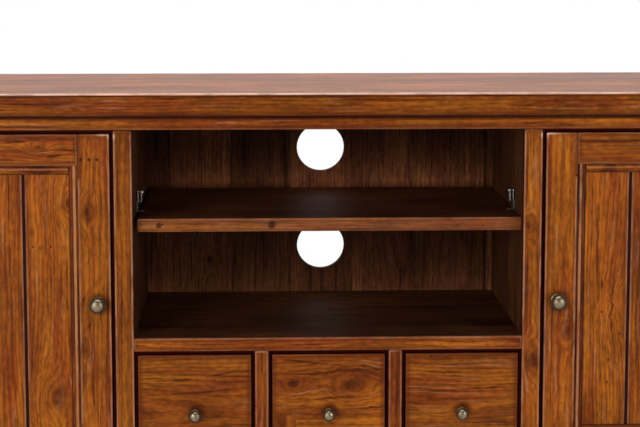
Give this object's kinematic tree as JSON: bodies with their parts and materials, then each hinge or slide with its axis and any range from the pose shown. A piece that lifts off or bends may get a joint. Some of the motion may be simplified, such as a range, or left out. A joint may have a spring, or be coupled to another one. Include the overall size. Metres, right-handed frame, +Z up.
{
  "type": "media console",
  "caption": "Rustic stained pine media console: open shelved bay with round cable holes between framed board doors, over a row of inset drawers with turned knobs.",
  "frame": {"origin": "on the floor, under the middle of the top", "axes": "+X to the right seen from the front, +Y to the back, +Z up; the front faces -Y"},
  "size_m": [1.5708, 0.436, 0.743],
  "materials": {
    "stained_pine": "orange-brown stain with worn edges, satin lacquer",
    "dark_pine": "near-black brown stain on inside boards, satin lacquer",
    "raw_pine": "plain pine, matt",
    "aged_brass": "antique, dark in the recesses",
    "plated_steel": "bright zinc plate"
  },
  "bodies": {
    "carcass": {"top_slab": "stained_pine", "top_rail": "stained_pine", "post_outer_left": "stained_pine", "post_outer_right": "stained_pine", "post_inner_left": "stained_pine", "post_inner_right": "stained_pine", "side_left": "stained_pine", "side_right": "stained_pine", "partition_left": "dark_pine", "partition_right": "dark_pine", "bottom_board": "stained_pine", "plinth_front": "stained_pine", "plinth_back": "dark_pine", "back_panel": "dark_pine", "deck_board": "stained_pine", "centre_shelf": "stained_pine", "drawer_divider_left": "stained_pine", "drawer_divider_right": "stained_pine", "cabinet_shelf_left": "dark_pine", "cabinet_shelf_right": "dark_pine", "shelf_bracket_left": "plated_steel", "shelf_bracket_right": "plated_steel", "hinge_frame_leaf_left_upper": "aged_brass", "hinge_frame_leaf_left_lower": "aged_brass", "hinge_frame_leaf_right_upper": "aged_brass", "hinge_frame_leaf_right_lower": "aged_brass"},
    "door_left": {"door_left_hinge_stile": "stained_pine", "door_left_lock_stile": "stained_pine", "door_left_top_rail": "stained_pine", "door_left_bottom_rail": "stained_pine", "door_left_panel": "stained_pine", "door_left_knob": "aged_brass", "hinge_door_leaf_left_upper": "aged_brass", "hinge_door_leaf_left_lower": "aged_brass"},
    "door_right": {"door_right_hinge_stile": "stained_pine", "door_right_lock_stile": "stained_pine", "door_right_top_rail": "stained_pine", "door_right_bottom_rail": "stained_pine", "door_right_panel": "stained_pine", "door_right_knob": "aged_brass", "hinge_door_leaf_right_upper": "aged_brass", "hinge_door_leaf_right_lower": "aged_brass"},
    "drawer_left": {"drawer_left_front": "stained_pine", "drawer_left_left_side": "raw_pine", "drawer_left_right_side": "raw_pine", "drawer_left_back": "raw_pine", "drawer_left_bottom": "raw_pine", "drawer_left_knob": "aged_brass"},
    "drawer_centre": {"drawer_centre_front": "stained_pine", "drawer_centre_left_side": "raw_pine", "drawer_centre_right_side": "raw_pine", "drawer_centre_back": "raw_pine", "drawer_centre_bottom": "raw_pine", "drawer_centre_knob": "aged_brass"},
    "drawer_right": {"drawer_right_front": "stained_pine", "drawer_right_left_side": "raw_pine", "drawer_right_right_side": "raw_pine", "drawer_right_back": "raw_pine", "drawer_right_bottom": "raw_pine", "drawer_right_knob": "aged_brass"}
  },
  "joints": [
    {"name": "left_door_hinge", "type": "hinge", "parent": "carcass", "child": "door_left", "pos_m": [-0.72415, -0.1945, 0.392], "axis": [0, 0, -1], "range_deg": [0, 115]},
    {"name": "right_door_hinge", "type": "hinge", "parent": "carcass", "child": "door_right", "pos_m": [0.72415, -0.1945, 0.392], "axis": [0, 0, 1], "range_deg": [0, 115]},
    {"name": "left_drawer_slide", "type": "slide", "parent": "carcass", "child": "drawer_left", "axis": [0, -1, 0], "range_m": [0, 0.24]},
    {"name": "centre_drawer_slide", "type": "slide", "parent": "carcass", "child": "drawer_centre", "axis": [0, -1, 0], "range_m": [0, 0.24]},
    {"name": "right_drawer_slide", "type": "slide", "parent": "carcass", "child": "drawer_right", "axis": [0, -1, 0], "range_m": [0, 0.24]}
  ]
}
